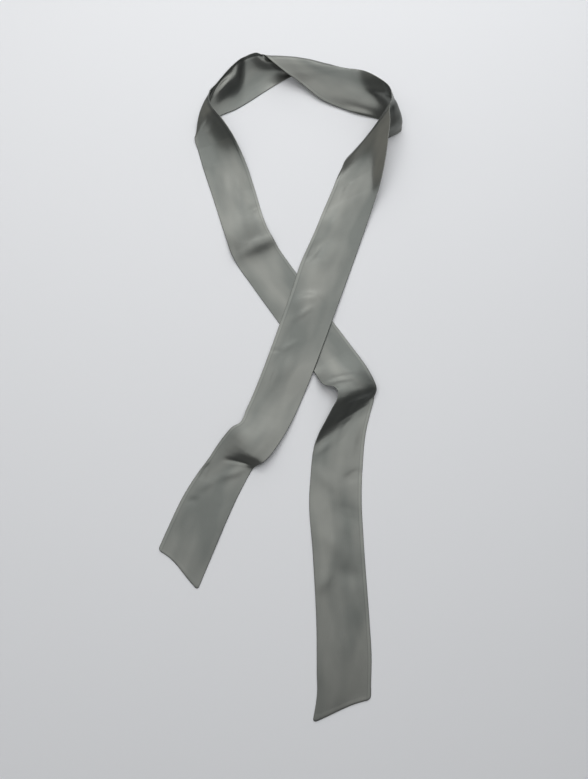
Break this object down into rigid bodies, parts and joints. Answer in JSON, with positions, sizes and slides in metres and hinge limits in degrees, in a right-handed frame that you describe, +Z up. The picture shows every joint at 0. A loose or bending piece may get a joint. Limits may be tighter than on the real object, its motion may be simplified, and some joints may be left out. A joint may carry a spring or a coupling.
{
  "type": "long silk scarf",
  "caption": "Long narrow satin scarf with slanted ends, laid flat with its legs crossed and its middle turned over into an open neck loop.",
  "frame": {"origin": "middle of the scarf's outline as it lies, on the surface that it rests on", "axes": "+Y up the layout from the tails to the neck loop, +X to the right as seen from above, +Z up from the surface"},
  "size_m": [0.2586, 0.7252, 0.0469],
  "materials": {
    "satin": "grey-green silk satin with a soft sheen"
  },
  "bodies": {
    "root": {"tail_right": "satin", "leg_low": "satin", "leg_left": "satin", "neck_left": "satin", "neck_top": "satin", "neck_right": "satin", "leg_right": "satin", "tail_left": "satin"}
  },
  "joints": []
}
